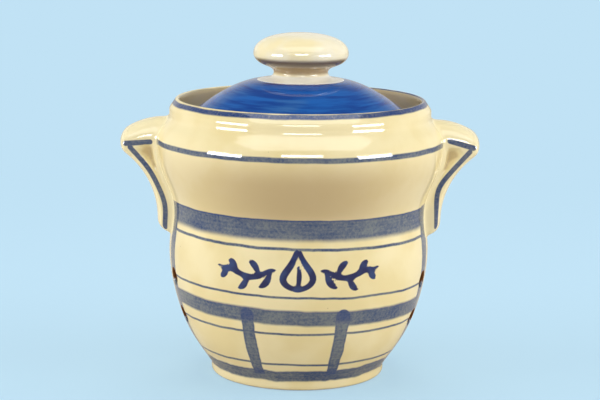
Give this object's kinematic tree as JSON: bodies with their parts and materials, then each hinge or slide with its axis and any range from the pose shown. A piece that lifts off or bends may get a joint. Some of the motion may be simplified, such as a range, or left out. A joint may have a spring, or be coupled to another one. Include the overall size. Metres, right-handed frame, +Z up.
{
  "type": "garlic keeper",
  "caption": "Glazed ceramic pot with ear lugs, vented lower wall and an inset lift-off lid with a mushroom knob, for keeping garlic bulbs.",
  "frame": {"origin": "centre of the foot, on the surface the pot stands on", "axes": "+Z up along the pot's axis, +X towards the right ear, -Y towards the painted front"},
  "size_m": [0.1552, 0.125, 0.1484],
  "materials": {
    "cream_glaze": "glossy cream glaze over a pale body, with blue-grey painted bands",
    "blue_glaze": "glossy glaze over strong cobalt brushwork",
    "knob_glaze": "glossy cream glaze"
  },
  "bodies": {
    "pot": {"jar": "cream_glaze", "left_handle": "cream_glaze", "right_handle": "cream_glaze"},
    "lid": {"lid": "blue_glaze", "lid_knob": "knob_glaze"}
  },
  "joints": [
    {"name": "lid_lift", "type": "slide", "parent": "pot", "child": "lid", "axis": [0, 0, 1], "range_m": [0, 0.06]}
  ]
}
